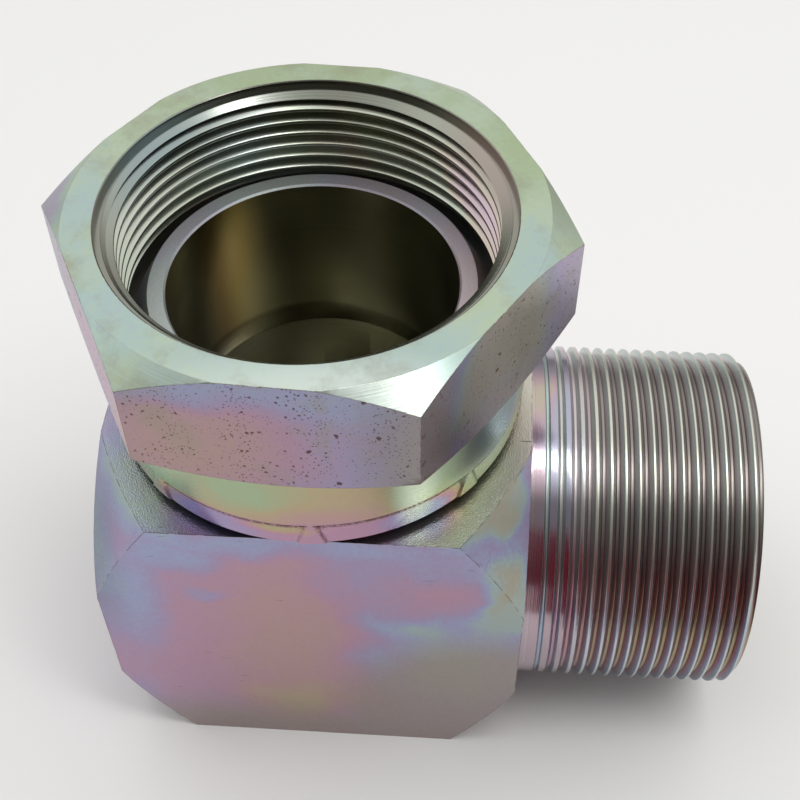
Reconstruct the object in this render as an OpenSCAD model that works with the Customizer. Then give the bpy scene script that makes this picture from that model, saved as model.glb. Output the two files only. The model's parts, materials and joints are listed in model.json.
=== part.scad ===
// Elbow adapter, 90 degrees: a fixed pipe-threaded stub to a loose swivel nut with the same thread.
// Sizes are in millimetres. Z runs up the swivel axis and X runs out along the stub.
// The origin is on the block's bottom face, below the swivel axis.

/* [Block] */
// How far the square bar's flats stand out from the stub's thread
bar_over = 1.95; // [0.5:0.05:10]
// Length of the block along the stub's axis
block_len = 70; // [68:0.5:90]
// From the block's back end to the swivel axis
swivel_from_back = 34.7; // [33:0.1:45]
// How far the turned circle on each end face stands out from the bar's flats
end_circle_over = 2.25; // [0:0.05:8]
// Slope of the turned corners, measured from the end faces
corner_angle = 45; // [30:1:60]

/* [Stub] */
// Major diameter of the pipe thread, on the stub and in the nut
thread_major_d = 59.6; // [50:0.1:80]
// Depth of the thread
thread_depth = 1.48; // [1:0.01:1.6]
// Length of the stub beyond the block
stub_len = 38; // [30:0.5:50]
// Chamfer on the stub's end
stub_chamfer = 1.4; // [0.5:0.1:3]
// Wall of the stub, from the thread's crests to the bore
stub_wall = 7.3; // [5:0.1:15]
// How far the mouth of the stub's coned seat stands out from a nose
seat_over = 0.8; // [0.2:0.05:1.5]
// Angle between each sealing cone and its axis
cone_half_angle = 30; // [20:1:45]

/* [Tail] */
// Height of the tail's nose above the block
nose_h = 24; // [22:0.5:30]
// Wall of the tail's barrel
tail_wall = 5.5; // [4.5:0.1:12]
// Width of the sealing cone, from the barrel in to the flat nose
cone_w = 2.7; // [1:0.1:3.5]
// How far the retaining shoulder stands out from the barrel
shoulder_over = 2.85; // [2.5:0.05:5]
// Length of the shoulder's round part
shoulder_len = 6; // [3:0.1:9]
// How far the shoulder stands out from the neck that the nut's lip closes round
neck_step = 1.95; // [1:0.05:3]
// Width of the neck's step that seats on the block
seat_step = 2; // [1:0.1:3]
// Length of the spigot that is brazed into the block's socket
spigot_len = 6.4; // [4:0.1:8]
// How much the passage narrows at the spigot's end
throat_step = 0.9; // [0.2:0.1:8]
// Length over which the tail's bore narrows to the throat
throat_taper = 3.4; // [1:0.1:6]

/* [Nut] */
// Wall of the hexagon at the middle of a flat, outside the thread
hex_wall = 5.2; // [4:0.1:12]
// Height of the nut
nut_h = 37; // [34:0.5:50]
// Height of the hexagon, measured at the middle of a flat
hex_h = 20.8; // [15:0.1:25]
// How far the turned circle on the nut's top face stands out from the flats
hex_top_over = 0.5; // [-2:0.1:1.5]
// Slope of the hexagon's top chamfer
hex_top_angle = 35; // [20:1:45]
// Slope of the hexagon's bottom chamfer
hex_bottom_angle = 30; // [15:1:45]
// Wall of the round skirt beside the tail's shoulder
skirt_wall = 2.7; // [2:0.1:3.5]
// How far the nut's plain mouth stands out from the thread
mouth_over = 1; // [0.2:0.05:2]
// Depth of the plain mouth
mouth_depth = 2.2; // [0.5:0.1:5]
// Angle between the countersink below the mouth and the axis
countersink_angle = 35; // [25:1:60]
// How far the groove below the thread stands out from it
relief_over = 0.4; // [0.1:0.05:0.7]
// Angle at which the nut stands, about the swivel axis
nut_turn = -2.7; // [-180:0.1:180]

/* [Crimp] */
// Gap between the block and the crimped lip
lip_lift = 1.7; // [0.8:0.1:4]
// Height of the lip's inner round face
lip_h = 3.4; // [2:0.1:5]
// Height of the marks that the crimping jaws leave
jaw_mark_h = 4.1; // [2:0.1:6]
// Depth of a jaw mark at its top edge
jaw_depth_top = 0.35; // [0.1:0.05:0.6]
// Depth of a jaw mark at the lip's bottom edge
jaw_depth_bottom = 0.7; // [0.2:0.05:1]
// Number of crimping jaws
jaw_count = 8; // [4:1:12]
// Angle of the first ridge between two jaw marks, from a corner of the hexagon
jaw_phase = 6.7; // [0:0.1:45]
// Width of a ridge at the top of the jaw marks
ridge_top_w = 0.8; // [0.4:0.1:2]
// Width of a ridge at the bottom edge of the lip
ridge_bottom_w = 4; // [1:0.1:6]

/* [Clearances] */
// Radial running clearance between the tail's shoulder and the nut's skirt
run_clear = 0.05; // [0.01:0.01:0.1]
// Axial clearance between the nut and the shoulder that it rests on
rest_clear = 0.05; // [0.02:0.01:0.1]
// Axial play of the nut, taken up when it is tightened
end_play = 0.5; // [0.2:0.1:1]
// Radial clearance between the neck and the nut's lip
lip_clear = 0.6; // [0.3:0.1:1]
// Radial clearance between the tail's barrel and the crests of the nut's thread
barrel_clear = 0.22; // [0.1:0.01:1]
// Height at which the nut's thread ends above the nose
thread_end_clear = 0.1; // [0.1:0.1:4]
// Radial gap that the braze fills round the spigot
braze_gap = 0.05; // [0.02:0.01:0.1]
// Gap below the spigot's end
spigot_end_gap = 0.1; // [0.05:0.05:0.5]
// Small break on turned edges
edge_break = 0.4; // [0.1:0.1:0.8]
// How far each bore is drilled past the other bore's axis
drill_overrun = 4; // [0:0.5:8]
// Point angle of the drill
drill_point = 118; // [90:1:140]

/* [Hidden] */
$fn = 120;

major_r = thread_major_d / 2;
minor_r = major_r - thread_depth;
past = 1;                                     // how far a cutting tool runs past a face

bar_r = major_r + bar_over;                   // half the side of the square bar
axis_z = bar_r;
block_top = 2 * bar_r;
block_back_x = -swivel_from_back;
block_front_x = block_len - swivel_from_back;
stub_end_x = block_front_x + stub_len;
stub_bore_r = major_r - stub_wall;

barrel_r = minor_r - barrel_clear;
nose_r = barrel_r - cone_w;
tail_bore_r = barrel_r - tail_wall;
throat_r = tail_bore_r - throat_step;
shoulder_r = barrel_r + shoulder_over;
neck_r = shoulder_r - neck_step;
spigot_r = neck_r - seat_step;

// The lip closes below the shoulder with a 45 degree thrust cone on each piece.
lip_r = neck_r + lip_clear;
cavity_r = shoulder_r + run_clear;
shoulder_base_h = lip_lift + lip_h - lip_clear + end_play + neck_step;
shoulder_top_h = shoulder_base_h + shoulder_len;
ceiling_h = shoulder_top_h + rest_clear - lip_lift;
skirt_r = cavity_r + skirt_wall;
thread_end_h = nose_h - lip_lift + thread_end_clear;

// A solid of revolution about Z from [radius, height] points.
module turned(points) {
    rotate_extrude() polygon(points);
}

// A solid of revolution about the stub's axis, from [radius, distance along X] points.
module turned_along_x(points) {
    translate([0, 0, axis_z]) rotate([0, 90, 0]) turned(points);
}

// A blind drilled hole: its mouth is at height 0, it goes down to depth, and its point goes deeper.
module drilled(hole_r, depth) {
    point_h = hole_r / tan(drill_point / 2);
    turned([[0, past], [hole_r, past], [hole_r, -depth], [0, -depth - point_h]]);
}

module square_bar() {
    translate([block_back_x, -bar_r, 0]) cube([block_len, 2 * bar_r, 2 * bar_r]);
}

// The envelope that turns the bar's corners off at both ends.
module turned_corners() {
    face_r = bar_r + end_circle_over;
    outer_r = 2 * bar_r;
    run = (outer_r - face_r) * tan(corner_angle);
    turned_along_x([
        [0, block_back_x], [face_r, block_back_x], [outer_r, block_back_x + run],
        [outer_r, max(block_back_x + run, block_front_x - run)], [face_r, block_front_x], [0, block_front_x]
    ]);
}

module stub() {
    turned_along_x([
        [0, 0], [major_r, 0], [major_r, stub_end_x - stub_chamfer],
        [major_r - stub_chamfer, stub_end_x], [0, stub_end_x]
    ]);
}

// The stub's bore with its coned seat, and the bore below the tail, drilled until they meet.
module passage() {
    seat_r = nose_r + seat_over;
    seat_depth = (seat_r - stub_bore_r) / tan(cone_half_angle);
    wider = past * tan(cone_half_angle);
    translate([stub_end_x, 0, axis_z]) rotate([0, 90, 0]) {
        drilled(stub_bore_r, stub_end_x + drill_overrun);
        turned([[0, past], [seat_r + wider, past], [stub_bore_r, -seat_depth], [0, -seat_depth]]);
    }
    translate([0, 0, block_top]) drilled(throat_r, axis_z + drill_overrun);
}

module socket() {
    depth = spigot_len + spigot_end_gap;
    translate([0, 0, block_top - depth]) cylinder(r = spigot_r + braze_gap, h = depth + past);
}

module elbow_block() color("#9b90a2") {
    difference() {
        union() {
            intersection() {
                square_bar();
                turned_corners();
            }
            stub();
        }
        passage();
        socket();
    }
}

module swivel_tail() color("#8f9096") {
    cone_h = cone_w / tan(cone_half_angle);
    translate([0, 0, block_top]) turned([
        [throat_r, -spigot_len],
        [spigot_r - edge_break, -spigot_len],
        [spigot_r, -spigot_len + edge_break],
        [spigot_r, 0],
        [neck_r, 0],
        [neck_r, shoulder_base_h - neck_step],
        [shoulder_r, shoulder_base_h],
        [shoulder_r, shoulder_top_h - edge_break],
        [shoulder_r - edge_break, shoulder_top_h],
        [barrel_r, shoulder_top_h],
        [barrel_r, nose_h - cone_h],
        [nose_r, nose_h],
        [tail_bore_r + edge_break, nose_h],
        [tail_bore_r, nose_h - edge_break],
        [tail_bore_r, throat_taper - spigot_len]
    ]);
}

// The hexagon between its two turned chamfers. Height 0 is the lip's bottom edge.
module hexagon() {
    flat_r = major_r + hex_wall;
    corner_r = flat_r / cos(30);
    outer_r = corner_r + past;
    top_r = flat_r + hex_top_over;
    under_h = nut_h - hex_h;
    rise = tan(hex_bottom_angle);
    fall = tan(hex_top_angle);
    intersection() {
        cylinder(r = corner_r, h = nut_h, $fn = 6);
        turned([
            [0, under_h - (flat_r - skirt_r) * rise],
            [skirt_r, under_h - (flat_r - skirt_r) * rise],
            [outer_r, under_h + (outer_r - flat_r) * rise],
            [outer_r, nut_h - (outer_r - top_r) * fall],
            [top_r, nut_h],
            [0, nut_h]
        ]);
    }
}

// Everything inside the nut: lip, thrust cone, cavity, relief, thread bore, countersink and mouth.
module nut_inside() {
    relief_r = major_r + relief_over;
    mouth_r = major_r + mouth_over;
    mouth_h = nut_h - mouth_depth;
    turned([
        [0, -past],
        [lip_r, -past],
        [lip_r, lip_h],
        [cavity_r, lip_h + cavity_r - lip_r],
        [cavity_r, ceiling_h],
        [relief_r, ceiling_h],
        [relief_r, thread_end_h - (relief_r - minor_r)],
        [minor_r, thread_end_h],
        [minor_r, mouth_h - (mouth_r - minor_r) / tan(countersink_angle)],
        [mouth_r, mouth_h],
        [mouth_r, nut_h - edge_break],
        [mouth_r + edge_break, nut_h],
        [mouth_r + edge_break, nut_h + past],
        [0, nut_h + past]
    ]);
}

// One ridge of metal left between two jaw marks, standing along X.
module ridge() {
    rotate([90, 0, 90]) linear_extrude(height = skirt_r + past) polygon([
        [-ridge_bottom_w / 2, -past],
        [ridge_bottom_w / 2, -past],
        [ridge_bottom_w / 2, 0],
        [ridge_top_w / 2, jaw_mark_h + past],
        [-ridge_top_w / 2, jaw_mark_h + past],
        [-ridge_bottom_w / 2, 0]
    ]);
}

// The band that the jaws press in at the foot of the skirt, less the ridges between them.
module jaw_marks() {
    difference() {
        turned([
            [skirt_r - jaw_depth_bottom, -past],
            [skirt_r - jaw_depth_bottom, 0],
            [skirt_r - jaw_depth_top, jaw_mark_h - jaw_depth_top],
            [skirt_r, jaw_mark_h],
            [skirt_r + past, jaw_mark_h],
            [skirt_r + past, -past]
        ]);
        for (k = [0 : jaw_count - 1]) rotate([0, 0, jaw_phase + k * 360 / jaw_count]) ridge();
    }
}

module swivel_nut() color("#a9a58c") {
    translate([0, 0, block_top + lip_lift]) rotate([0, 0, nut_turn]) difference() {
        union() {
            hexagon();
            cylinder(r = skirt_r, h = nut_h - hex_h);
        }
        nut_inside();
        jaw_marks();
    }
}

elbow_block();
swivel_tail();
swivel_nut();
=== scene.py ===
import json
import math

import bpy
from mathutils import Matrix, Vector


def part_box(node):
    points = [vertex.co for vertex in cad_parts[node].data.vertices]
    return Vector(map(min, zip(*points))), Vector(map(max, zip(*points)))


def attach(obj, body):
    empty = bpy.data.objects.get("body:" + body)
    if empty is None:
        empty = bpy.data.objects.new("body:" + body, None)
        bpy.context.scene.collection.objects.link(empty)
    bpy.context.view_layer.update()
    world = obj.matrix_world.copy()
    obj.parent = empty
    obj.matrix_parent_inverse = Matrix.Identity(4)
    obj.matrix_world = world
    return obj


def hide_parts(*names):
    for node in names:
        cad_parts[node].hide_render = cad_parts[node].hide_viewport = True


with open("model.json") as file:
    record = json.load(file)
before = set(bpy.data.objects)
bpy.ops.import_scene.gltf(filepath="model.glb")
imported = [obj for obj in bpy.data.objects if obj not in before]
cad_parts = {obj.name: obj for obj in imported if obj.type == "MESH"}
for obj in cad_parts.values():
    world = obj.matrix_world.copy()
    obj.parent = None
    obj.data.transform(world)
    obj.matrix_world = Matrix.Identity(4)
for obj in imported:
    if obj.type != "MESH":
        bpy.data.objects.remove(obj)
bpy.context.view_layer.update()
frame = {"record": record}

scene = bpy.context.scene

# Sizes are in millimetres until settle() turns each finished mesh to metres.
MM = 0.001
PITCH = 25.4 / 11              # the pipe thread has 11 turns to the inch
FLANK = math.radians(27.5)     # half the thread's 55 degree angle
THREAD_DEPTH = 0.640327 * PITCH
CREST_W = 0.3                  # the bar's own surface that is left between two grooves
CREST_R = 0.06                 # the radius that the crests' edges are worn to
ROOT_R = 0.14                  # and the one that the tool's corners leave in the roots
DRILL_HALF = math.radians(59)  # half the angle of a drill's point
MERGE = 0.0005                 # points closer than this are one
PAST = 1                       # how far a cutting tool stands out past what it cuts
NEAR = 0.02                    # a face this close to a plane lies on it
SMOOTH_BELOW = math.radians(28)    # faces that meet at less are shaded as one surface


def box_mm(node_name):
    low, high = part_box(node_name)
    return low / MM, high / MM


def mount(name):
    found = [m for m in frame["record"]["mounts"] if m["name"] == name][0]
    return Vector(found["pos_m"]) / MM, found["dims"]


BLOCK_LOW, BLOCK_HIGH = box_mm("elbow_block")
NUT_LOW, NUT_HIGH = box_mm("swivel_nut")
TAIL_LOW, TAIL_HIGH = box_mm("swivel_tail")
STUB_WALL, STUB_THREAD = mount("stub_thread")
NUT_WALL, NUT_THREAD = mount("swivel_thread")
CONE_ANGLE = math.radians(30)  # between each sealing cone and its axis

# Block and stub
AXIS_Z = STUB_WALL.z
BAR_HALF = BLOCK_HIGH.y
BLOCK_TOP = 2 * BAR_HALF
BLOCK_BACK_X = BLOCK_LOW.x
BLOCK_FRONT_X = STUB_WALL.x - STUB_THREAD["length_mm"] / 2
STUB_END_X = BLOCK_HIGH.x
STUB_CHAMFER = STUB_END_X - STUB_WALL.x - STUB_THREAD["length_mm"] / 2
STUB_R = STUB_THREAD["r_mm"]
STUB_BORE_R = 22.5
SEAT_R = 26.2
CORNER_CIRCLE_R = 34
BAR_EDGE = 0.22                # the bar's broken edges
STUB_ROOT = 6                  # how far the stub's rod reaches into the block
CROSSING = 4                   # each passage is drilled this far past the axis of the other
BRAZE_GAP = 0.05               # round the tail's spigot
BRAZE_FLOOR = 0.1              # and below it
THREAD_START_X = 37.9          # where the thread's first shallow groove begins
SHALLOWEST = 0.02              # how deep the groove is before that
RUN_IN = 4.5                   # the thread gains nearly two thirds of its depth over this length
FIRST_BITE = 1                 # how far along its run-in the thread is where it begins
CREST_X = 41.835               # where a crest passes at CREST_TURN, measured round from straight down
CREST_TURN = math.radians(-133.3)

# Tail
NOSE_Z = TAIL_HIGH.z
SPIGOT_Z = TAIL_LOW.z
SHOULDER_R = TAIL_HIGH.y
NECK_R = 29
SPIGOT_R = 27
SHOULDER_BASE_Z = 70.45
SHOULDER_TOP_Z = 76.45
BARREL_R = NUT_THREAD["r_mm"] - 0.22
NOSE_R = BARREL_R - 2.7
TAIL_BORE_R = BARREL_R - 5.5
THROAT_R = TAIL_BORE_R - 0.9
THROAT_TAPER = 3.4
TAIL_CHAMFER = 0.4             # on the spigot and on the shoulder
NOSE_EDGE = 0.2                # the nose's broken outer edge
BORE_EDGE = 0.3                # and its inner one

# Nut
NUT_TURN = math.radians(-2.7)
FLAT_R = 35
HEX_H = 20.8
HEX_TOP_R = FLAT_R + 0.5
TOP_SLOPE = math.radians(35)
UNDER_SLOPE = math.radians(30)
HEX_EDGE = 0.25                # the hexagon's broken edges
SKIRT_R = 33.7
SKIRT_ROOT = 3                 # how far the skirt reaches into the hexagon
PRESSED_W = 1.5                # the outer band of its lower face that gives way to the jaws
LIP_R = 29.6
LIP_H = 3.4
JAW_COUNT = 8                  # the crimping jaws' marks, with a ridge between each two
JAW_MARK_H = 4.9
SKIRT_EDGE = 0.15              # the skirt's broken lower edge
JAW_DEPTH_TOP = 0.35
JAW_DEPTH_BOTTOM = 0.3
LIP_LEAN = 0.1                 # how far the whole lip leans in at the bottom
RIDGE_TURN = math.radians(4)
RIDGE_TOP_W = 0.8
RIDGE_BOTTOM_W = 4
DIG_DEPTH = 0.35               # the jaws' corners dig in beside the top of each ridge
DIG_W = 1.3
CAVITY_R = SHOULDER_R + 0.05
CEILING_Z = SHOULDER_TOP_Z + 0.05
RELIEF_R = STUB_R + 0.4
MOUTH_R = STUB_R + 1
MOUTH_DEPTH = 1.2
MOUTH_EDGE = 0.15              # its broken edge
LEDGE_R = STUB_R + 0.15        # the counterbore's flat bottom ends here, at the thread's chamfer
COUNTERSINK = math.radians(50)
NUT_CREST_Z = 98.15            # where a crest of the nut's thread passes at the back
NUT_THREAD_LOW = 82            # inside the relief, where the tool for the nut's thread ends
LAST_TURN = 1.9                # how far the thread runs on below the wall that its mount gives
TRIM = 0.7                     # how far a tool's slope runs on inside the thread's crests
MINOR_R = NUT_THREAD["r_mm"]


def select_only(piece):
    bpy.ops.object.select_all(action="DESELECT")
    piece.select_set(True)
    bpy.context.view_layer.objects.active = piece


def fresh(name, operator, **settings):
    """A new object with a name, made by an operator that adds one, with nothing else selected."""
    bpy.ops.object.select_all(action="DESELECT")
    operator(**settings)
    piece = bpy.context.object
    piece.name = name
    return piece


def edit(piece):
    select_only(piece)
    bpy.ops.object.mode_set(mode="EDIT")
    bpy.ops.mesh.select_all(action="SELECT")


def leave_edit():
    bpy.ops.object.mode_set(mode="OBJECT")


def apply_modifier(piece, kind, **settings):
    modifier = piece.modifiers.new(kind.lower(), kind)
    for name, value in settings.items():
        setattr(modifier, name, value)
    select_only(piece)
    bpy.ops.object.modifier_apply(modifier=modifier.name)


def boolean(piece, tool, operation):
    apply_modifier(piece, "BOOLEAN", object=tool, operation=operation, solver="MANIFOLD")
    bpy.data.objects.remove(tool)


def turned(name, profile, steps=192):
    """A solid of revolution about Z, spun from a closed outline of (radius, height) points."""
    piece = fresh(name, bpy.ops.mesh.primitive_circle_add, vertices=len(profile), fill_type="NOTHING")
    for vertex, (radius, height) in zip(piece.data.vertices, profile):
        vertex.co = (radius, 0, height)
    edit(piece)
    bpy.ops.mesh.spin(steps=steps, angle=2 * math.pi, center=(0, 0, 0), axis=(0, 0, 1))
    bpy.ops.mesh.select_all(action="SELECT")
    bpy.ops.mesh.remove_doubles(threshold=MERGE)
    bpy.ops.mesh.delete_loose(use_verts=True, use_edges=True, use_faces=False)
    bpy.ops.mesh.select_all(action="SELECT")
    bpy.ops.mesh.normals_make_consistent(inside=False)
    leave_edit()
    return piece


def lay_along_x(piece):
    """Turns a piece made about Z so that its axis is the stub's, with +Z going to +X."""
    turn = Matrix.Translation((0, 0, AXIS_Z)) @ Matrix.Rotation(math.pi / 2, 4, "Y")
    piece.data.transform(turn)
    return piece


def worn_corner(width, height, radius, turn):
    """Four points round a corner of the groove's outline, from its level side to its flank. turn
    is 1 at the crest, where the flank goes down and inwards, and -1 at the root."""
    bend = math.pi / 2 - FLANK
    start = width + turn * radius * math.tan(bend / 2)
    return [(start - turn * radius * math.sin(bend * t),
             height - turn * radius * (1 - math.cos(bend * t))) for t in (0, 1 / 3, 2 / 3, 1)]


def groove_points(depth):
    """(offset along the axis, height above the root) across one pitch, from crest to crest, of a
    groove with a narrow flat root. Each straight flank has a point near each end, so that the
    smooth shading of its corners doesn't spread over it."""
    brink = (PITCH - CREST_W) / 2 - (THREAD_DEPTH - depth) * math.tan(FLANK)
    root = (PITCH - CREST_W) / 2 - THREAD_DEPTH * math.tan(FLANK)
    crest_arc = worn_corner(brink, depth, min(CREST_R, 0.4 * depth), 1)
    root_arc = worn_corner(root, 0, min(ROOT_R, 0.4 * depth), -1)[::-1]
    inner, outer = crest_arc[-1], root_arc[0]
    flank = [tuple(a + (b - a) * t for a, b in zip(inner, outer)) for t in (0.03, 0.97)]
    side = crest_arc + flank + root_arc
    left = [(-width, height) for width, height in side]
    return [(-PITCH / 2, depth)] + left + side[::-1]


def threaded_rod(name, crest_r, low, high, crest_z, crest_turn, depth_at, limit_r, steps=144):
    """A closed rod about Z with a right-hand thread between two heights. crest_z is where one crest
    passes at the angle crest_turn, depth_at gives the depth of cut and limit_r the largest radius."""
    spare = 2                  # turns past each end, which the cuts take off
    first = math.floor((low - crest_z) / PITCH) - spare
    turns = math.ceil((high - low) / PITCH) + 2 * spare
    per_pitch = len(groove_points(THREAD_DEPTH))
    rows = turns * per_pitch
    piece = fresh(name, bpy.ops.mesh.primitive_grid_add, x_subdivisions=steps, y_subdivisions=rows,
                  size=1)
    for vertex in piece.data.vertices:
        around = round((vertex.co.x + 0.5) * steps)
        row = round((vertex.co.y + 0.5) * rows)
        angle = 2 * math.pi * around / steps
        turn = first + row // per_pitch + around / steps - crest_turn / (2 * math.pi)
        root_z = crest_z + (turn + 0.5) * PITCH
        depth = depth_at(root_z)
        offset, height = groove_points(depth)[row % per_pitch]
        z = root_z + offset
        radius = min(crest_r - depth + height, limit_r(z))
        vertex.co = (radius * math.cos(angle), radius * math.sin(angle), z)
    edit(piece)
    bpy.ops.mesh.remove_doubles(threshold=MERGE)
    bpy.ops.mesh.select_all(action="SELECT")
    bpy.ops.mesh.bisect(plane_co=(0, 0, low), plane_no=(0, 0, 1), use_fill=True, clear_inner=True)
    bpy.ops.mesh.select_all(action="SELECT")
    bpy.ops.mesh.bisect(plane_co=(0, 0, high), plane_no=(0, 0, 1), use_fill=True, clear_outer=True)
    bpy.ops.mesh.select_all(action="SELECT")
    bpy.ops.mesh.normals_make_consistent(inside=False)
    leave_edit()
    return piece


def settle(piece, body, slot, *nodes):
    """Turns a finished piece to metres and hands it to the frame in place of its CAD nodes."""
    piece.data.transform(Matrix.Scale(MM, 4))
    select_only(piece)
    bpy.ops.object.shade_smooth_by_angle(angle=SMOOTH_BELOW)
    apply_modifier(piece, "WEIGHTED_NORMAL", keep_sharp=True, weight=100)
    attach(piece, body)
    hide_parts(*nodes)
    return piece


def square_bar():
    """The length of square bar with the corners of both ends turned off."""
    centre = ((BLOCK_BACK_X + BLOCK_FRONT_X) / 2, 0, AXIS_Z)
    bar = fresh("elbow_block_finish", bpy.ops.mesh.primitive_cube_add, size=1, location=centre)
    bar.scale = (BLOCK_FRONT_X - BLOCK_BACK_X, 2 * BAR_HALF, 2 * BAR_HALF)
    bpy.ops.object.transform_apply(location=True, rotation=True, scale=True)
    outer = 2 * BAR_HALF
    run = outer - CORNER_CIRCLE_R
    envelope = lay_along_x(turned("corner_envelope", [
        (0, BLOCK_BACK_X - PAST), (CORNER_CIRCLE_R - PAST, BLOCK_BACK_X - PAST),
        (outer, BLOCK_BACK_X + run), (outer, BLOCK_FRONT_X - run),
        (CORNER_CIRCLE_R - PAST, BLOCK_FRONT_X + PAST), (0, BLOCK_FRONT_X + PAST)
    ]))
    boolean(bar, envelope, "INTERSECT")
    apply_modifier(bar, "BEVEL", width=BAR_EDGE, segments=2, limit_method="ANGLE",
                   angle_limit=math.radians(25), use_clamp_overlap=True)
    return bar


def stub_groove_depth(z):
    """The thread runs in from nothing beside the block to its full depth."""
    if z < THREAD_START_X:
        return SHALLOWEST
    along = z - THREAD_START_X + FIRST_BITE
    return max(SHALLOWEST, THREAD_DEPTH * (1 - math.exp(-along / RUN_IN)))


def stub_limit(z):
    """The stub's largest radius at a place along it, which falls in the chamfer at its end."""
    return min(STUB_R, STUB_R - (z - (STUB_END_X - STUB_CHAMFER)))


def elbow_block_finish():
    bar = square_bar()
    rod = lay_along_x(threaded_rod("stub", STUB_R, BLOCK_FRONT_X - STUB_ROOT, STUB_END_X, CREST_X,
                                   CREST_TURN, stub_groove_depth, stub_limit))
    boolean(bar, rod, "UNION")
    point = STUB_BORE_R / math.tan(DRILL_HALF)
    seat_depth = (SEAT_R - STUB_BORE_R) / math.tan(CONE_ANGLE)
    widen = PAST * math.tan(CONE_ANGLE)
    stub_bore = lay_along_x(turned("stub_bore", [
        (0, -CROSSING - point), (STUB_BORE_R, -CROSSING), (STUB_BORE_R, STUB_END_X - seat_depth),
        (SEAT_R, STUB_END_X), (SEAT_R + widen, STUB_END_X + PAST), (0, STUB_END_X + PAST)
    ]))
    boolean(bar, stub_bore, "DIFFERENCE")
    throat_low = AXIS_Z - CROSSING
    throat_point = THROAT_R / math.tan(DRILL_HALF)
    socket_z = SPIGOT_Z - BRAZE_FLOOR
    socket_r = SPIGOT_R + BRAZE_GAP
    throat = turned("throat", [
        (0, throat_low - throat_point), (THROAT_R, throat_low), (THROAT_R, socket_z),
        (socket_r, socket_z), (socket_r, BLOCK_TOP + PAST), (0, BLOCK_TOP + PAST)
    ])
    boolean(bar, throat, "DIFFERENCE")
    return settle(bar, "body", "block_plating", "elbow_block")


def swivel_tail_finish():
    cone_h = (BARREL_R - NOSE_R) / math.tan(CONE_ANGLE)
    step = SHOULDER_R - NECK_R
    tail = turned("swivel_tail_finish", [
        (THROAT_R, SPIGOT_Z), (SPIGOT_R - TAIL_CHAMFER, SPIGOT_Z), (SPIGOT_R, SPIGOT_Z + TAIL_CHAMFER),
        (SPIGOT_R, BLOCK_TOP), (NECK_R, BLOCK_TOP), (NECK_R, SHOULDER_BASE_Z - step),
        (SHOULDER_R, SHOULDER_BASE_Z), (SHOULDER_R, SHOULDER_TOP_Z - TAIL_CHAMFER),
        (SHOULDER_R - TAIL_CHAMFER, SHOULDER_TOP_Z), (BARREL_R, SHOULDER_TOP_Z),
        (BARREL_R, NOSE_Z - cone_h), (NOSE_R + NOSE_EDGE / 2, NOSE_Z - NOSE_EDGE),
        (NOSE_R - NOSE_EDGE / 2, NOSE_Z), (TAIL_BORE_R + BORE_EDGE, NOSE_Z),
        (TAIL_BORE_R, NOSE_Z - BORE_EDGE), (TAIL_BORE_R, SPIGOT_Z + THROAT_TAPER)
    ], steps=256)
    return settle(tail, "body", "tail_plating", "swivel_tail")


def smooth_step(x):
    x = min(max(x, 0), 1)
    return x * x * (3 - 2 * x)


def beside_ridge(angle, up):
    """How far round the skirt an angle is from the edge of the nearest ridge between jaw marks."""
    pitch = 2 * math.pi / JAW_COUNT
    from_ridge = (angle - RIDGE_TURN + pitch / 2) % pitch - pitch / 2
    half_ridge = (RIDGE_BOTTOM_W + (RIDGE_TOP_W - RIDGE_BOTTOM_W) * up) / 2
    return abs(from_ridge) * SKIRT_R - half_ridge


def jaw_press(angle, z):
    """How deep the crimping jaws pushed the skirt in at an angle and a height."""
    up = (z - NUT_LOW.z) / JAW_MARK_H
    if up > 1:
        return 0
    beside = beside_ridge(angle, up)
    depth = JAW_DEPTH_BOTTOM + (JAW_DEPTH_TOP - JAW_DEPTH_BOTTOM) * up
    dig = DIG_DEPTH * smooth_step((up - 0.45) / 0.4) * (1 - smooth_step(beside / DIG_W))
    return LIP_LEAN * (1 - up) + (depth + dig) * smooth_step(beside / 0.4)


def jaw_grime_and_shade(angle, z):
    """How dark a place on the skirt is painted, partly with grime that has stayed there and partly with
    painted shade: along the top of the jaws' marks, in the digs and beside the ridges."""
    up = (z - NUT_LOW.z) / JAW_MARK_H
    if up > 1.015:
        return 0
    beside = beside_ridge(angle, min(up, 1))
    line = smooth_step((up - 0.74) / 0.08) * smooth_step(beside / 0.3)
    dig = smooth_step((up - 0.6) / 0.25) * (1 - smooth_step(abs(beside - 0.6) / 0.7))
    foot = 0.6 * (1 - smooth_step(abs(beside - 0.3) / 0.45))
    return max(line, dig, foot)


def crimped_skirt(top_z):
    """The nut's round skirt, closed, with the marks of the crimping jaws round its lower edge."""
    base = NUT_LOW.z
    mark_top = base + JAW_MARK_H
    heights = [base + SKIRT_EDGE + 0.39 * step for step in range(11)]
    # the points stand closer together at the sharp top of the marks
    heights += [mark_top + step for step in (-0.7, -0.5, -0.28, -0.06, 0, 0.05, 0.1)] + [top_z]
    outline = [(0, base), (SKIRT_R - PRESSED_W, base), (SKIRT_R - SKIRT_EDGE, base)]
    outline += [(SKIRT_R, z) for z in heights] + [(0, top_z)]
    skirt = turned("skirt", outline, steps=720)
    for vertex in skirt.data.vertices:
        x, y, z = vertex.co
        radius = math.hypot(x, y)
        if radius > SKIRT_R - 0.5:
            keep = 1 - jaw_press(math.atan2(y, x), z) / radius
            vertex.co = (x * keep, y * keep, z)
    return skirt


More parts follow.
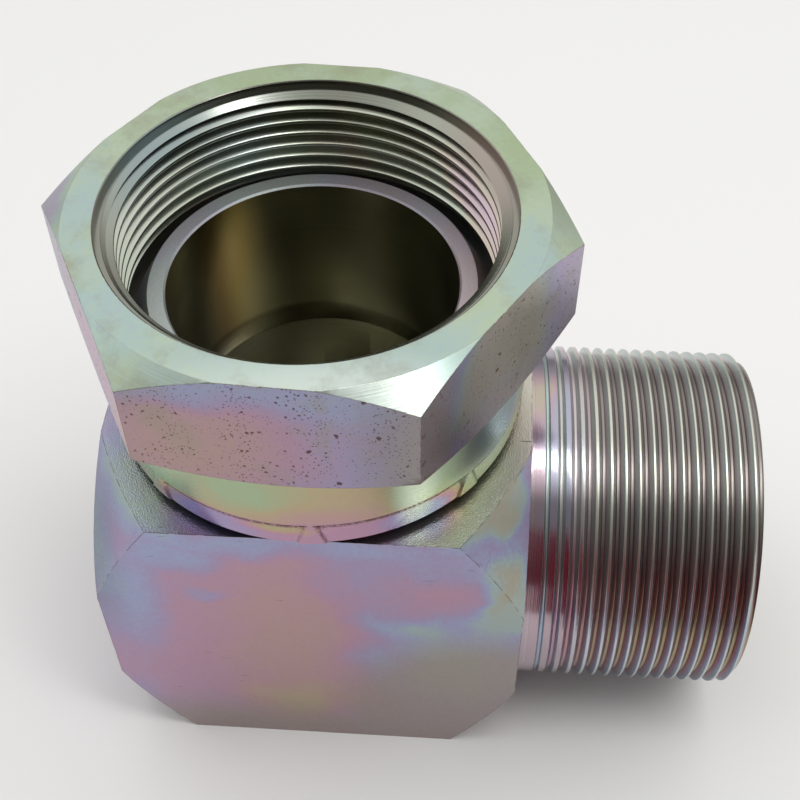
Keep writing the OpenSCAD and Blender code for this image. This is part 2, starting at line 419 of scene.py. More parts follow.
def swivel_nut_finish():
    height = NUT_HIGH.z - NUT_LOW.z
    corner_r = FLAT_R / math.cos(math.radians(30))
    nut = fresh("swivel_nut_finish", bpy.ops.mesh.primitive_cylinder_add, vertices=6, radius=corner_r,
                depth=height, location=(0, 0, NUT_LOW.z + height / 2),
                rotation=(0, 0, NUT_TURN + math.radians(30)))
    bpy.ops.object.transform_apply(location=True, rotation=True, scale=True)
    outer = corner_r + 1
    under_z = NUT_HIGH.z - HEX_H
    under_drop = (FLAT_R - SKIRT_R + SKIRT_ROOT) * math.tan(UNDER_SLOPE)
    top_drop = (outer - HEX_TOP_R) * math.tan(TOP_SLOPE)
    envelope = turned("nut_envelope", [
        (0, under_z - under_drop), (SKIRT_R - SKIRT_ROOT, under_z - under_drop),
        (outer, under_z + (outer - FLAT_R) * math.tan(UNDER_SLOPE)), (outer, NUT_HIGH.z - top_drop),
        (HEX_TOP_R - PAST / math.tan(TOP_SLOPE), NUT_HIGH.z + PAST), (0, NUT_HIGH.z + PAST)
    ])
    boolean(nut, envelope, "INTERSECT")
    apply_modifier(nut, "BEVEL", width=HEX_EDGE, segments=2, limit_method="ANGLE",
                   angle_limit=math.radians(15), use_clamp_overlap=True)
    skirt = crimped_skirt(under_z + SKIRT_ROOT)
    boolean(nut, skirt, "UNION")
    mouth_z = NUT_HIGH.z - MOUTH_DEPTH
    below = LEDGE_R - MINOR_R + TRIM
    chamfer_z = mouth_z - below / math.tan(COUNTERSINK)
    mouth = turned("mouth", [
        (0, chamfer_z), (LEDGE_R - below, chamfer_z), (LEDGE_R, mouth_z), (MOUTH_R, mouth_z),
        (MOUTH_R, NUT_HIGH.z - MOUTH_EDGE), (MOUTH_R + MOUTH_EDGE, NUT_HIGH.z),
        (MOUTH_R + MOUTH_EDGE, NUT_HIGH.z + PAST), (0, NUT_HIGH.z + PAST)
    ], steps=256)
    boolean(nut, mouth, "DIFFERENCE")
    plug = threaded_rod("nut_thread", STUB_R, NUT_THREAD_LOW, mouth_z + MOUTH_DEPTH / 2,
                        NUT_CREST_Z + PITCH / 2, math.radians(90), lambda z: THREAD_DEPTH,
                        lambda z: STUB_R, steps=192)
    boolean(nut, plug, "DIFFERENCE")
    thread_end_z = NUT_WALL.z - NUT_THREAD["length_mm"] / 2 - LAST_TURN
    slope = RELIEF_R - MINOR_R
    cavity = turned("cavity", [
        (0, NUT_LOW.z - PAST), (LIP_R, NUT_LOW.z - PAST), (LIP_R, NUT_LOW.z + LIP_H),
        (CAVITY_R, NUT_LOW.z + LIP_H + CAVITY_R - LIP_R), (CAVITY_R, CEILING_Z), (RELIEF_R, CEILING_Z),
        (RELIEF_R, thread_end_z - slope), (MINOR_R - TRIM, thread_end_z + TRIM), (0, thread_end_z + TRIM)
    ], steps=256)
    boolean(nut, cavity, "DIFFERENCE")
    # dark paint in the jaws' marks: partly grime, partly painted shade
    grime_and_shade = nut.data.attributes.new("jaw_grime_and_shade", "FLOAT", "POINT")
    for vertex, stored in zip(nut.data.vertices, grime_and_shade.data):
        x, y, z = vertex.co
        if math.hypot(x, y) > SKIRT_R - 2:
            stored.value = jaw_grime_and_shade(math.atan2(y, x), z)
    return settle(nut, "nut", "nut_plating", "swivel_nut")


def linear(hex_colour):
    """An sRGB hex colour as linear RGBA."""
    channels = [int(hex_colour[i:i + 2], 16) / 255 for i in (1, 3, 5)]
    return [c / 12.92 if c <= 0.04045 else ((c + 0.055) / 1.055) ** 2.4 for c in channels] + [1]


def result(node):
    """A node's first output in use."""
    return [socket for socket in node.outputs if socket.enabled][0]


def add(tree, kind, inputs=None, **settings):
    """Adds a shader node with its settings, and sets its inputs or links other nodes to them."""
    node = tree.nodes.new("ShaderNode" + kind)
    for name, value in settings.items():
        setattr(node, name, value)
    for name, value in (inputs or {}).items():
        if isinstance(value, bpy.types.Node):
            value = result(value)
        if isinstance(value, bpy.types.NodeSocket):
            tree.links.new(value, node.inputs[name])
        else:
            node.inputs[name].default_value = value
    return node


# The colours that a passivation film runs through as it gets thicker, and where each of them lies
# between the thinnest film here and the thickest.
FILM = {
    "bare": (0.00, "#a99d95"), "straw": (0.09, "#b0b09c"), "teal": (0.18, "#a4bbba"),
    "blue": (0.27, "#9fa6ca"), "violet": (0.36, "#a798bd"), "pink": (0.46, "#ba92aa"),
    "salmon": (0.56, "#bd9b97"), "gold": (0.66, "#b8a988"), "green": (0.76, "#a5b795"),
    "mint": (0.85, "#b2c2aa"), "cyan": (0.93, "#a9beb9"), "lilac": (1.00, "#aea8ba"),
}


def fill_ramp(ramp, shades):
    """Gives a colour ramp its stops, from a table of positions and sRGB hex colours."""
    stops = ramp.color_ramp.elements
    for position, shade in shades.items():
        stop = stops[0] if position == 0 else stops[-1] if position == 1 else stops.new(position)
        stop.color = linear(shade)


class Plating:
    """The material of one plated surface and the nodes that its look is made of."""

    def __init__(self, name):
        self.material = bpy.data.materials.new(name)
        self.material.use_nodes = True
        self.tree = self.material.node_tree
        self.shader = self.tree.nodes["Principled BSDF"]
        self.shader.inputs["Metallic"].default_value = 1
        source = self.add("TexCoord")
        self.place = self.add("VectorMath", {0: source.outputs["Object"], "Scale": 1 / MM},
                              operation="SCALE")
        # the X, Y and Z of a point's place in millimetres, and of the way that its face looks
        self.along = self.add("SeparateXYZ", {0: self.place}).outputs
        self.facing = self.add("SeparateXYZ", {0: source.outputs["Normal"]}).outputs

    def add(self, kind, inputs=None, **settings):
        return add(self.tree, kind, inputs, **settings)

    def patch(self, centre, reach, softness, strength=1, place=None):
        """strength inside an ellipsoid, with a soft edge, and 0 outside it."""
        local = self.add("VectorMath", {0: place or self.place, 1: centre}, operation="SUBTRACT")
        local = self.add("VectorMath", {0: local, 1: reach}, operation="DIVIDE")
        local = self.add("VectorMath", {0: local}, operation="LENGTH")
        return self.add("MapRange", {
            "Value": local, "From Min": 1 + softness / 2, "From Max": 1 - softness / 2, "To Max": strength
        }, interpolation_type="SMOOTHSTEP")

    def film(self, base, patches=(), cloud=0.1, cloud_mm=16, warp_mm=3):
        """The film's thickness: a base that drifts in slow clouds, and patches of another thickness
        laid over it in turn. Each patch is (colour, centre, reach, softness), in millimetres."""
        clouds = self.add("TexNoise", {"Vector": self.place, "Scale": 1 / cloud_mm, "Detail": 3})
        thickness = self.add("MapRange", {
            "Value": clouds, "From Min": 0.3, "From Max": 0.7,
            "To Min": FILM[base][0] - cloud, "To Max": FILM[base][0] + cloud}, clamp=False)
        lumps = self.add("TexNoise", {"Vector": self.place, "Scale": 1 / 9, "Detail": 1})
        shift = self.add("VectorMath", {0: lumps.outputs["Color"], 1: (0.5, 0.5, 0.5)},
                         operation="SUBTRACT")
        shift = self.add("VectorMath", {0: shift, "Scale": 2.5 * warp_mm}, operation="SCALE")
        warped = self.add("VectorMath", {0: self.place, 1: shift}, operation="ADD")
        for colour, centre, reach, softness in patches:
            inside = self.patch(centre, reach, softness, place=warped)
            thickness = self.add("Mix", {0: inside, 2: thickness, 3: FILM[colour][0]})
        mottle = self.add("TexNoise", {"Vector": self.place, "Scale": 1 / 0.9, "Detail": 3})
        mottle = self.add("MapRange", {"Value": mottle, "To Min": -0.05, "To Max": 0.05})
        return self.add("Math", {0: thickness, 1: mottle}, operation="ADD")

    def film_colour(self, thickness):
        ramp = self.add("ValToRGB", {"Fac": thickness})
        fill_ramp(ramp, dict(FILM.values()))
        return ramp

    def rings(self, size_mm):
        """Turning marks about the swivel axis: noise that never changes on the way round it."""
        flat = self.add("VectorMath", {0: self.place, 1: (1, 1, 0)}, operation="MULTIPLY")
        radius = self.add("VectorMath", {0: flat}, operation="LENGTH")
        track = self.add("CombineXYZ", {0: radius, 1: self.along["Z"]})
        return self.add("TexNoise", {"Vector": track, "Scale": 1 / size_mm, "Detail": 2})

    def drawn_lines(self):
        """Drawing marks 0.5 mm wide: noise drawn out along the bar."""
        local = self.add("VectorMath", {0: self.place, 1: (0.04, 1, 1)}, operation="MULTIPLY")
        return self.add("TexNoise", {"Vector": local, "Scale": 1 / 0.5, "Detail": 3})

    def edges(self, radius_mm):
        """1 along the piece's edges and 0 away from them."""
        rounded = self.add("Bevel", {"Radius": radius_mm * MM}, samples=6)
        plain = self.add("NewGeometry")
        cosine = self.add("VectorMath", {0: rounded, 1: plain.outputs["Normal"]},
                          operation="DOT_PRODUCT")
        return self.add("MapRange", {"Value": cosine, "From Min": 0.995, "From Max": 0.94})

    def specks(self, size_mm, share):
        """Ragged spots up to size_mm across, on a share of the cells of a pattern."""
        rough = self.add("TexNoise", {"Vector": self.place, "Scale": 1.5 / size_mm, "Detail": 1})
        rough = self.add("VectorMath", {0: rough.outputs["Color"], "Scale": 0.8 * size_mm},
                         operation="SCALE")
        place = self.add("VectorMath", {0: self.place, 1: rough}, operation="ADD")
        cells = self.add("TexVoronoi", {"Vector": place, "Scale": 1 / (1.6 * size_mm), "Randomness": 1})
        hue = self.add("SeparateXYZ", {0: cells.outputs["Color"]})
        chosen = self.add("Math", {0: hue.outputs["X"], 1: share}, operation="LESS_THAN")
        size = self.add("MapRange", {"Value": hue.outputs["Y"], "To Min": 0.12, "To Max": 0.31})
        spot = self.add("Math", {0: size, 1: cells.outputs["Distance"]}, operation="SUBTRACT")
        spot = self.add("MapRange", {"Value": spot, "From Max": 0.08})
        return self.add("Math", {0: spot, 1: chosen}, operation="MULTIPLY")

    def scratches(self):
        """Short level scratches, dark with grime."""
        local = self.add("VectorMath", {0: self.place, 1: (0.16, 1, 2.4)}, operation="MULTIPLY")
        streaks = self.add("TexNoise", {"Vector": local, "Scale": 1.1, "Detail": 1})
        patches = self.add("TexNoise", {"Vector": self.place, "Scale": 1 / 7})
        thin = self.add("MapRange", {"Value": streaks, "From Min": 0.72, "From Max": 0.75,
                                     "To Max": 0.6})
        some = self.add("MapRange", {"Value": patches, "From Min": 0.58, "From Max": 0.62})
        return self.add("Math", {0: thin, 1: some}, operation="MULTIPLY")

    def tint(self, share, colour, other):
        """A colour, with another one over the given share of it."""
        colour, other = (linear(shade) if isinstance(shade, str) else shade for shade in (colour, other))
        return self.add("Mix", {0: share, 6: colour, 7: other}, data_type="RGBA")

    def finish(self, colour, roughness, marks, depth_mm):
        """The finished material: roughness is a number or a node, and marks stand depth_mm high."""
        self.tree.links.new(result(colour), self.shader.inputs["Base Color"])
        if isinstance(roughness, bpy.types.Node):
            self.tree.links.new(result(roughness), self.shader.inputs["Roughness"])
        else:
            self.shader.inputs["Roughness"].default_value = roughness
        bump = self.add("Bump", {"Height": marks, "Strength": 1, "Distance": depth_mm * MM})
        self.tree.links.new(result(bump), self.shader.inputs["Normal"])
        return self.material


def drawn_bar_plating():
    """Cold drawn bar with turned-off corners, zinc plated and passivated: satin flats over which the
    film's colour drifts in soft-edged clouds, a grainy top face, and a few scratches."""
    plating = Plating("drawn_bar_rainbow_zinc")
    front = -BAR_HALF
    top = BLOCK_TOP
    thickness = plating.film("violet", [
        ("pink", (-14, front, 30), (16, 14, 30), 1.7),
        ("pink", (2, front, 55), (12, 14, 11), 1.6),
        ("salmon", (-3, front, 32), (10, 14, 22), 1.9),
        ("gold", (-4, front, 13), (8, 6, 5), 1.9),
        ("blue", (-29, front, 46), (5, 8, 11), 1.6),
        ("blue", (-21, front, 57), (7, 5, 4), 1.3),
        ("violet", (-15.6, front, 46.6), (3.4, 4, 1.4), 1.4),
        ("blue", (-9, front, 62), (11, 4, 3), 1.8),
        ("blue", (9, front, 61), (7, 5, 4), 1.8),
        ("violet", (10, front, 53), (8, 7, 5), 1.6),
        ("pink", (22, front, 50), (8, 8, 5), 1.8),
        ("teal", (17, front, 38.5), (6, 6, 3), 1.9),
        ("teal", (25, front, 26), (11, 9, 13), 1.8),
        ("straw", (33, front, 50), (4, 6, 12), 1.2),
        ("teal", (-34, -22, 52), (4, 9, 7), 1.6),
        ("violet", (-36, -12, 44), (5, 12, 12), 1.4),
        ("teal", (-26, -22, top), (12, 12, 3), 1.2),
        ("straw", (28, -21, top), (9, 10, 3), 1.2),
        ("teal", (34, -27, 44), (4, 7, 5), 1.0),
    ], cloud=0.08, warp_mm=4)
    colour = plating.tint(0.15, plating.film_colour(thickness), "#a99fa6")
    corner = plating.patch((31, front, 9), (27, 12, 27), 0.5, 0.85)
    foot = plating.patch((-8, front, -4), (46, 12, 14), 1.0, 0.85)
    thin = plating.add("Math", {0: corner, 1: foot}, operation="MAXIMUM")
    colour = plating.tint(thin, colour, "#a2968e")
    # painted shade: the bar's left front chamfer is painted darker
    shade = plating.patch((-36, -27, 52), (6, 9, 16), 1.2, 0.45)
    colour = plating.tint(shade, colour, "#6f767c")
    behind = plating.add("MapRange", {"Value": plating.along["Y"], "From Min": -24, "From Max": 0})
    slow = plating.add("TexNoise", {"Vector": plating.place, "Scale": 1 / 28, "Detail": 2})
    slow = plating.add("MapRange", {"Value": slow, "From Min": 0.35, "From Max": 0.6,
                                    "To Min": 0.15, "To Max": 0.9})
    behind = plating.add("Math", {0: behind, 1: slow}, operation="MULTIPLY")
    colour = plating.tint(behind, colour, "#a3a198")
    on_top = plating.add("Math", {0: plating.facing["Z"], 1: 0.9}, operation="GREATER_THAN")
    grit = plating.add("TexNoise", {"Vector": plating.place, "Scale": 1 / 0.45, "Detail": 3})
    lines = plating.drawn_lines()
    coarse = plating.add("TexNoise", {"Vector": plating.place, "Scale": 1 / 0.22, "Detail": 1})
    coarse = plating.add("Math", {0: coarse, 1: 3}, operation="MULTIPLY")
    marks = plating.add("Mix", {0: on_top, 2: lines, 3: coarse})
    dull = plating.add("MapRange", {"Value": grit, "From Min": 0.35, "From Max": 0.65,
                                    "To Min": 0.3, "To Max": 0.42})
    dull = plating.add("Mix", {0: on_top, 2: dull, 3: 0.27})
    # painted light: the top face is painted lighter towards the stub and left darker under the nut
    painted_light_top = plating.add("MapRange", {"Value": plating.along["X"], "From Min": -24, "From Max": 26,
                                       "To Min": 0.05, "To Max": 0.8})
    painted_light_top = plating.add("Math", {0: on_top, 1: painted_light_top}, operation="MULTIPLY")
    colour = plating.tint(painted_light_top, colour, "#cccab8")
    edge = plating.edges(0.25)
    # the edges are painted lighter: partly wear, partly a painted highlight
    wear_and_highlight = plating.add("Math", {0: edge, 1: 0.35}, operation="MULTIPLY")
    colour = plating.tint(wear_and_highlight, colour, "#c0bba6")
    broken = plating.add("TexNoise", {"Vector": plating.place, "Scale": 1 / 1.4, "Detail": 2})
    broken = plating.add("MapRange", {"Value": broken, "From Min": 0.44, "From Max": 0.5,
                                      "To Max": 0.85})
    soil_and_shade = plating.add("Math", {0: broken, 1: edge}, operation="MULTIPLY")
    soil_and_shade = plating.add("Math", {0: soil_and_shade, 1: plating.scratches()}, operation="MAXIMUM")
    return plating.finish(plating.tint(soil_and_shade, colour, "#4d4a3c"), dull, marks, 0.02)


def turned_stub_plating():
    """Turned and single-point threaded steel, plated and passivated: a bright shank with fine
    turning marks, satin flanks, and a film that thickens from the roots to the crests."""
    plating = Plating("turned_stub_rainbow_zinc")
    local = plating.add("VectorMath", {0: plating.place, 1: (0, 0, AXIS_Z)}, operation="SUBTRACT")
    flat = plating.add("VectorMath", {0: local, 1: (0, 1, 1)}, operation="MULTIPLY")
    radius = plating.add("VectorMath", {0: flat}, operation="LENGTH")
    up_flank = plating.add("MapRange", {"Value": radius, "From Min": STUB_R - THREAD_DEPTH,
                                        "From Max": STUB_R})
    thread = plating.add("ValToRGB", {"Fac": up_flank})
    fill_ramp(thread, {0: "#87817c", 0.1: "#958f8c", 0.25: "#c6bbbf", 0.6: "#c0c5c1", 0.85: "#abc0bf",
                       0.97: "#bdbcb0", 1: "#cbc9bc"})
    low = plating.add("ValToRGB", {"Fac": up_flank})
    fill_ramp(low, {0: "#a39679", 0.1: "#a08b7e", 0.25: "#b8929a", 0.5: "#b098ab", 0.8: "#a1b8c6",
                    0.97: "#b9c4cd", 1: "#cbccd2"})
    under = plating.add("MapRange", {"Value": plating.along["Z"], "From Min": AXIS_Z + 16,
                                     "From Max": AXIS_Z + 9})
    thread = plating.tint(under, thread, low)
    thickness = plating.film("pink", [
        ("violet", (36.5, 12, AXIS_Z + 28), (6, 10, 7), 1.2),
        ("gold", (36.5, 2, AXIS_Z + 30), (3, 5, 3), 1.4),
        ("blue", (41, -8, AXIS_Z + 27), (3.5, 14, 9), 1.2),
    ], cloud=0.04)
    shank = plating.tint(0.5, plating.film_colour(thickness), "#b5b3b0")
    cut = plating.add("MapRange", {"Value": up_flank, "From Min": 0.99, "From Max": 0.96})
    threaded = plating.add("MapRange", {"Value": plating.along["X"], "From Min": 42, "From Max": 46})
    cut = plating.add("Math", {0: cut, 1: threaded}, operation="MAXIMUM")
    colour = plating.tint(cut, shank, thread)
    flank = plating.add("MapRange", {"Value": up_flank, "From Min": 0.99, "From Max": 0.93,
                                     "To Min": 0.17, "To Max": 0.28})
    flank = plating.add("Mix", {0: threaded, 2: flank, 3: 0.3})
    track = plating.add("CombineXYZ", {0: plating.along["X"]})
    marks = plating.add("TexNoise", {"Vector": track, "Scale": 1 / 0.16, "Detail": 2})
    return plating.finish(colour, flank, marks, 0.012)


def drilled_passage_plating():
    """Drilled and bored steel, deep inside, where the bath barely reached: dull olive brown."""
    plating = Plating("drilled_olive_zinc")
    rings = plating.rings(0.6)
    return plating.finish(plating.tint(rings, "#92917e", "#a3a28c"), 0.36, rings, 0.02)


def nut_hexagon_plating():
    """Hexagon bar, faced and chamfered on the lathe, plated and passivated: a pale mint film with
    soft stains on the faced end, and pink and grey flats with fine brown corrosion specks."""
    plating = Plating("faced_hexagon_rainbow_zinc")
    top = NUT_HIGH.z
    ends = plating.film("mint", [
        ("cyan", (-24, -23, top), (8, 7, 2.5), 1.3),
        ("cyan", (-33, -4, top), (4, 9, 2.5), 1.3),
        ("cyan", (33, -12, top), (5, 9, 2.5), 1.3),
        ("cyan", (10, -32, top - 1), (28, 9, 4), 1.6),
        ("green", (-14, 31, top), (9, 5, 3), 1.3),
        ("green", (31, 16, top), (9, 10, 3), 1.3),
        ("green", (0, 34, top - 2), (34, 7, 2.2), 1.2),
        ("lilac", (-39, 2, top - 2), (3, 9, 2), 1.0),
    ], cloud=0.06, cloud_mm=7)
    side = plating.add("MapRange", {"Value": plating.facing["Z"], "From Min": 0.5, "From Max": 0.3})
    flats = plating.film("violet", [
        ("pink", (-13, -34.6, 92), (15, 9, 14), 1.6),
        ("salmon", (-14, -34.6, 88), (12, 9, 9), 1.9),
        ("blue", (-9, -34.6, 101), (16, 5, 3), 1.9),
        ("blue", (9, -35.2, 100.5), (12, 5, 4), 1.9),
        ("straw", (29, -19, 93), (12, 12, 12), 0.8),
        ("violet", (29, -19, 85), (9, 9, 3), 1.4),
        ("pink", (-34, -22, 92), (9, 12, 9), 1.2),
        ("violet", (38, -4, 94), (4, 8, 7), 1.3),
    ], cloud=0.04, warp_mm=2)
    film = plating.add("Mix", {0: side, 2: ends, 3: flats})
    colour = plating.film_colour(film)
    end = plating.add("Math", {0: 1, 1: side}, operation="SUBTRACT")
    # painted highlight: a near-white patch on the front of the faced end and its chamfer
    bright = plating.patch((8, -36, top - 1), (19, 6, 4), 1.4, 0.6)
    bright = plating.add("Math", {0: bright, 1: end}, operation="MULTIPLY")
    colour = plating.tint(bright, colour, "#dde6dc")
    corner = plating.patch((20, -34, 92), (5, 5, 14), 1.2, 0.8)
    right = plating.patch((29, -18, 91), (10.5, 12, 16), 0.5, 0.8)
    thin = plating.add("Math", {0: corner, 1: right}, operation="MAXIMUM")
    thin = plating.add("Math", {0: thin, 1: side}, operation="MULTIPLY")
    colour = plating.tint(thin, colour, "#b3a8a2")
    # painted shade: the forward-facing flat is painted greyer and darker towards its right
    ahead = plating.add("MapRange", {"Value": plating.facing["Y"], "From Min": -0.85,
                                     "From Max": -0.97})
    grey = plating.patch((18, -35.5, 92), (7, 6, 16), 1.2)
    grey = plating.add("MapRange", {"Value": grey, "To Min": 0.3, "To Max": 0.7})
    grey = plating.add("Math", {0: grey, 1: ahead}, operation="MULTIPLY")
    colour = plating.tint(grey, colour, "#84807f")
    behind = plating.add("MapRange", {"Value": plating.along["Y"], "From Min": -16, "From Max": 8,
                                      "To Max": 0.55})
    behind = plating.add("Math", {0: behind, 1: side}, operation="MULTIPLY")
    colour = plating.tint(behind, colour, "#a9a49b")
    stain = plating.add("TexNoise", {"Vector": plating.place, "Scale": 1 / 9, "Detail": 5,
                                     "Roughness": 0.65})
    stain = plating.add("MapRange", {"Value": stain, "From Min": 0.5, "From Max": 0.68, "To Max": 0.5})
    colour = plating.tint(stain, colour, "#94917f")
    edge = plating.edges(0.22)
    # the edges are painted lighter: partly wear, partly a painted highlight
    wear_and_highlight = plating.add("Math", {0: edge, 1: 0.5}, operation="MULTIPLY")
    colour = plating.tint(wear_and_highlight, colour, "#c3bda4")
    drift = plating.add("TexNoise", {"Vector": plating.place, "Scale": 1 / 5, "Detail": 2})
    drift = plating.add("MapRange", {"Value": drift, "From Min": 0.35, "From Max": 0.65, "To Max": 0.9})
    crowd = plating.patch((4, -35, 98), (20, 4, 7), 1.0)
    fine = plating.add("MapRange", {"Value": crowd, "To Min": 0.3, "To Max": 0.8})
    fine = plating.add("Math", {0: drift, 1: fine}, operation="ADD")
    rust = plating.add("Math", {0: plating.specks(0.3, fine), 1: plating.specks(0.6, drift)},
                       operation="MAXIMUM")
    rust = plating.add("Math", {0: rust, 1: plating.specks(1.2, 0.1)}, operation="MAXIMUM")
    broken = plating.add("TexNoise", {"Vector": plating.place, "Scale": 1 / 1.1, "Detail": 2})
    broken = plating.add("MapRange", {"Value": broken, "From Min": 0.38, "From Max": 0.46})
    edge_rust = plating.add("Math", {0: edge, 1: broken}, operation="MULTIPLY")
    spot = plating.patch((19, -34.4, 82.5), (2.6, 3, 2.8), 1.2)
    spot = plating.add("Math", {0: spot, 1: broken}, operation="MULTIPLY")
    rust = plating.add("Math", {0: rust, 1: spot}, operation="MAXIMUM")
    rust = plating.add("Math", {0: rust, 1: side}, operation="MULTIPLY")
    rust = plating.add("Math", {0: rust, 1: edge_rust}, operation="MAXIMUM")
    rust = plating.add("Math", {0: rust, 1: 0.75}, operation="MULTIPLY")
    colour = plating.tint(rust, colour, "#5c4640")
    dull = plating.add("MapRange", {"Value": rust, "To Min": 0.3, "To Max": 0.7})
    grit = plating.add("TexNoise", {"Vector": plating.place, "Scale": 1 / 0.4, "Detail": 2})
    marks = plating.add("Mix", {0: side, 2: plating.rings(0.3), 3: grit})
    return plating.finish(colour, dull, marks, 0.012)


def nut_skirt_plating():
    """Turned skirt, crimped in by jaws, plated and passivated: a bright film whose colour changes
    quickly round the nut, and brown in the jaws' marks, partly grime and partly painted shade."""
    plating = Plating("crimped_skirt_rainbow_zinc")
    z = 75
    thickness = plating.film("gold", [
        ("green", (-21, -26, z), (7, 7, 9), 1.2),
        ("green", (-8, -33, z + 2), (8, 5, 5), 1.4),
        ("salmon", (5, -33.5, z - 4), (9, 5, 2), 1.9),
        ("mint", (18, -28.5, z - 1), (4, 4, 7), 1.5),
        ("cyan", (30, -17, z), (9, 11, 9), 1.0),
        ("pink", (0, -33, 66.6), (34, 9, 3.4), 0.7),
        ("violet", (-14, -30, 66.6), (9, 6, 3.2), 1.2),
        ("blue", (18, -27, 67), (6, 5, 3), 1.2),
        ("gold", (-3, -33, 68.2), (5, 4, 1), 1.4),
    ], cloud=0.04, cloud_mm=14, warp_mm=1.2)
    colour = plating.film_colour(thickness)
    # painted highlight: a near-white spot on the right of the collar
    bright = plating.patch((17.6, -28.7, z), (2.4, 4, 9), 1.6)
    colour = plating.tint(bright, colour, "#dcebd2")
    # the jaws' marks are painted dark brown: partly grime, partly painted shade in their creases
    grime_and_shade = plating.add("Attribute", attribute_name="jaw_grime_and_shade")
    ragged = plating.add("TexNoise", {"Vector": plating.place, "Scale": 1 / 0.4, "Detail": 2})
    ragged = plating.add("MapRange", {"Value": ragged, "From Min": 0.3, "From Max": 0.55})
    grime_and_shade = plating.add("Math", {0: grime_and_shade.outputs["Fac"], 1: ragged}, operation="MULTIPLY")
    grime_and_shade = plating.add("Math", {0: grime_and_shade, 1: 0.85}, operation="MULTIPLY")
    marks = plating.rings(0.3)
    dull = plating.add("MapRange", {"Value": grime_and_shade, "To Min": 0.27, "To Max": 0.6})
    return plating.finish(plating.tint(grime_and_shade, colour, "#6a5752"), dull, marks, 0.01)


def nut_thread_plating():
    """Bored and threaded steel, plated and passivated: pale crests in mint and rose, a chamfer above
    them painted darker as shade and bluish at the left, and a counterbore painted brown, partly grime
    and partly painted shade."""
    plating = Plating("threaded_bore_rainbow_zinc")
    thickness = plating.film("green", [
        ("mint", (-26, 10, 94), (14, 16, 9), 1.3),
        ("cyan", (-14, 25, 94), (8, 8, 9), 1.3),
        ("pink", (25, 14, 92), (6, 13, 5), 1.3),
    ], cloud=0.1, cloud_mm=12)
    colour = plating.tint(0.5, plating.film_colour(thickness), "#cfcec8")
    # painted shade and grime: the counterbore is painted dark brown
    soil_and_shade = plating.add("MapRange", {"Value": plating.along["Z"], "From Min": NUT_HIGH.z - 1.4,
                                      "From Max": NUT_HIGH.z - 1.1, "To Max": 0.65})
    colour = plating.tint(soil_and_shade, colour, "#5d5046")
    # painted shade: the chamfer and the counterbore are painted darker
    painted_shade_mouth = plating.add("MapRange", {"Value": plating.along["Z"], "From Min": NUT_HIGH.z - 4,
                                    "From Max": NUT_HIGH.z - 3.2, "To Max": 0.5})
    colour = plating.tint(painted_shade_mouth, colour, "#757570")
    for centre, shade in (((-25, 14, 99.5), "#87999c"), ((26, 12, 99.5), "#a09088")):
        side = plating.patch(centre, (9, 12, 3), 1.4, 0.7)
        colour = plating.tint(side, colour, shade)
    marks = plating.rings(0.25)
    return plating.finish(colour, 0.24, marks, 0.01)


def tail_nose_plating():
    """Faced and turned steel, plated and passivated: a thin, pale grey-lavender film with a fine
    grain."""
    plating = Plating("faced_nose_rainbow_zinc")
    thickness = plating.film("violet", [
        ("teal", (-22, -6, 87.5), (8, 14, 3), 1.2),
        ("teal", (-12, 21, 87.5), (12, 7, 3), 1.2),
        ("pink", (22, -6, 87.5), (6, 9, 3), 1.2),
    ], cloud=0.1, cloud_mm=10)
    colour = plating.tint(0.6, plating.film_colour(thickness), "#c2c1bc")
    grain = plating.add("TexNoise", {"Vector": plating.place, "Scale": 1 / 0.35, "Detail": 2})
    shade = plating.add("MapRange", {"Value": grain, "From Min": 0.35, "From Max": 0.65, "To Max": 0.3})
    return plating.finish(plating.tint(shade, colour, "#9c9b99"), 0.5, grain, 0.02)


def tail_bore_plating():
    """Reamed bore, plated and passivated: a smooth olive film with faint rings, a golden stripe of
    painted highlight, a painted patch of light, and painted shade, darkest round the step at its foot."""
    plating = Plating("reamed_olive_zinc")
    rings = plating.rings(0.5)
    colour = plating.tint(rings, "#9a9987", "#adab96")
    # painted highlight: a golden stripe down the bore
    streak = plating.patch((-16.5, 15.5, 80), (6, 6, 22), 1.2)
    colour = plating.tint(streak, colour, "#c0ab72")
    # painted light: a pale patch low in the bore
    glow = plating.patch((-5, 21.7, 64), (8, 8, 9), 1.6, 0.8)
    colour = plating.tint(glow, colour, "#d6d2ae")
    # painted shade: a dark patch low in the bore and round the step at its foot
    dark = 0.65
    shade = plating.patch((10, 20, 60), (10, 8, 9), 1.4, dark)
    ledge_z = SPIGOT_Z + THROAT_TAPER
    ledge = plating.add("MapRange", {"Value": plating.along["Z"], "From Min": ledge_z + 0.6,
                                     "From Max": ledge_z - 0.4, "To Max": dark})
    shade = plating.add("Math", {0: shade, 1: ledge}, operation="MAXIMUM")
    return plating.finish(plating.tint(shade, colour, "#565545"), 0.26, rings, 0.012)


def paint(piece, materials, choose):
    """Gives each face of a piece one of its materials, by the face's place."""
    piece.data.materials.clear()
    for material in materials:
        piece.data.materials.append(material)
    for face in piece.data.polygons:
        face.material_index = choose(face.center / MM)


def block_part(place):
    """0 for the bar, 1 for the turned stub and 2 for the passages."""
    off_axis = math.hypot(place.y, place.z - AXIS_Z)
    if abs(place.x - BLOCK_FRONT_X) < NEAR:
        return 0
    if place.x > STUB_END_X - NEAR:
        return 1
    if place.x > BLOCK_FRONT_X + NEAR and off_axis > SEAT_R + 0.1:
        return 1
    if off_axis < SEAT_R + 0.1 and place.x > BLOCK_BACK_X + 1:
        return 2
    if math.hypot(place.x, place.y) < SPIGOT_R + 0.1 and BLOCK_TOP - 0.05 > place.z > 1:
        return 2
    return 0


